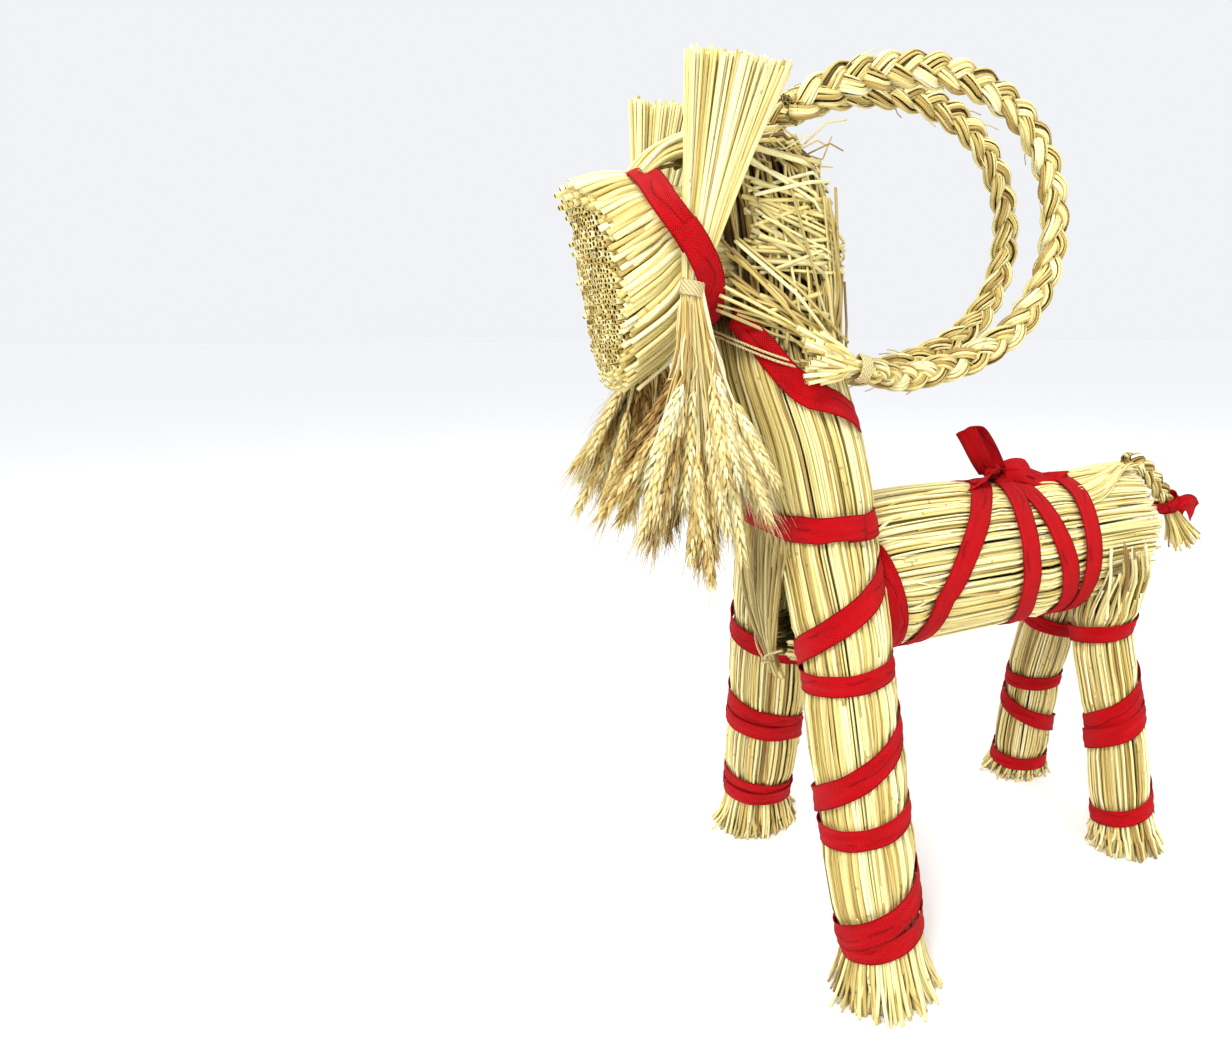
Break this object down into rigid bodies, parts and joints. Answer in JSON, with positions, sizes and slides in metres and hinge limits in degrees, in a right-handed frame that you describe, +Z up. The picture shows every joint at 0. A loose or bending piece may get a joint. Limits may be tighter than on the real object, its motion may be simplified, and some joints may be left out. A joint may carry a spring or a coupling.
{
  "type": "straw yule goat",
  "caption": "Standing goat of bound straw bundles with red tape windings, plaited ring horns, a beard of grain heads and a plaited tail.",
  "frame": {"origin": "middle of the bounding box on the floor under the goat", "axes": "+Z up; -Y is the way the goat faces; +X is the goat's left side"},
  "size_m": [0.254, 0.4697, 0.5007],
  "materials": {
    "straw": "dry rye straw, satin, with darker gaps between the straws",
    "twine": "thin straw-coloured thread",
    "red_tape": "red herringbone cotton tape"
  },
  "bodies": {
    "goat": {"front_bundle_left": "straw", "front_bundle_right": "straw", "body_bundle": "straw", "rear_leg_left": "straw", "rear_leg_right": "straw", "muzzle_bundle": "straw", "horn_plait_left": "straw", "horn_plait_right": "straw", "head_winding_upper": "straw", "head_winding_middle": "straw", "head_winding_lower": "straw", "horn_tie_left": "twine", "horn_tie_right": "twine", "chest_tie": "twine", "neck_tape": "red_tape", "body_tape_front": "red_tape", "body_tape_2": "red_tape", "body_tape_3": "red_tape", "body_tape_4": "red_tape", "body_tape_5": "red_tape", "front_leg_tape_left": "red_tape", "front_leg_tape_right": "red_tape", "rear_leg_tape_left": "red_tape", "rear_leg_tape_right": "red_tape", "muzzle_tape": "red_tape", "neck_cross_tape": "red_tape", "bow_knot": "red_tape", "bow_loop_front": "red_tape", "bow_loop_rear": "red_tape", "bow_tail_front": "red_tape", "bow_tail_rear": "red_tape"},
    "tail": {"tail_plait": "straw", "tail_tassel": "straw", "tail_ribbon": "red_tape", "tail_ribbon_end": "red_tape"},
    "sheaf_left": {"rye_sheaf_left": "straw", "sheaf_tie_left": "twine"},
    "sheaf_right": {"rye_sheaf_right": "straw", "sheaf_tie_right": "twine"}
  },
  "joints": [
    {"name": "tail_lift", "type": "hinge", "parent": "goat", "child": "tail", "pos_m": [0, 0.142, 0.267], "axis": [1, 0, 0], "range_deg": [0, 30], "stiffness_Nm_per_rad": 0.05},
    {"name": "sheaf_rock_left", "type": "hinge", "parent": "goat", "child": "sheaf_left", "pos_m": [0.0438, -0.1785, 0.372], "axis": [1, 0, 0], "range_deg": [-6, 2], "stiffness_Nm_per_rad": 0.05},
    {"name": "sheaf_rock_right", "type": "hinge", "parent": "goat", "child": "sheaf_right", "pos_m": [-0.0438, -0.1785, 0.372], "axis": [1, 0, 0], "range_deg": [-6, 2], "stiffness_Nm_per_rad": 0.05}
  ]
}
